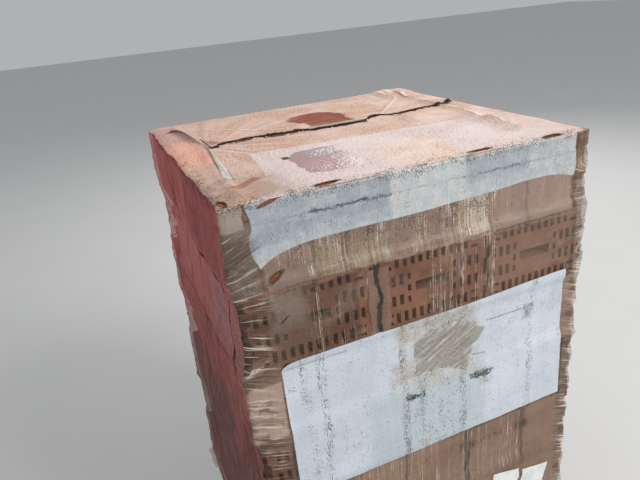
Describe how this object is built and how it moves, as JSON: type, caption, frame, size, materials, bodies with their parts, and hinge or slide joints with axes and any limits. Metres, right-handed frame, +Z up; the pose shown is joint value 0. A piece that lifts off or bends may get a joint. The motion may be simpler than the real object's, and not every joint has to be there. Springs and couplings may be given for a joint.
{
  "type": "pallet of bricks",
  "caption": "Stack of perforated clay blocks in crossed layers on a wooden pallet, shrink-wrapped in weathered translucent film.",
  "frame": {"origin": "on the floor under the middle of the load", "axes": "+Z up; the side with the large printed panel looks along -Y, and +X is to its right"},
  "size_m": [0.9668, 0.9668, 1.6894],
  "materials": {
    "fired_clay": "matt, fired, chipped and dusty",
    "pallet_wood": "rough sawn, grey with damp",
    "shrink_film": "hazy translucent film, creased, torn and dirty"
  },
  "bodies": {
    "root": {"brick_layer_1": "fired_clay", "brick_layer_2": "fired_clay", "brick_layer_3": "fired_clay", "brick_layer_4": "fired_clay", "brick_layer_5": "fired_clay", "brick_layer_6": "fired_clay", "brick_layer_7": "fired_clay", "brick_layer_8": "fired_clay", "deck_board_1": "pallet_wood", "deck_board_2": "pallet_wood", "deck_board_3": "pallet_wood", "deck_board_4": "pallet_wood", "deck_board_5": "pallet_wood", "deck_board_6": "pallet_wood", "deck_board_7": "pallet_wood", "bearer_1": "pallet_wood", "bearer_2": "pallet_wood", "bearer_3": "pallet_wood", "bottom_board_1": "pallet_wood", "bottom_board_2": "pallet_wood", "bottom_board_3": "pallet_wood", "shrink_film": "shrink_film"}
  },
  "joints": []
}
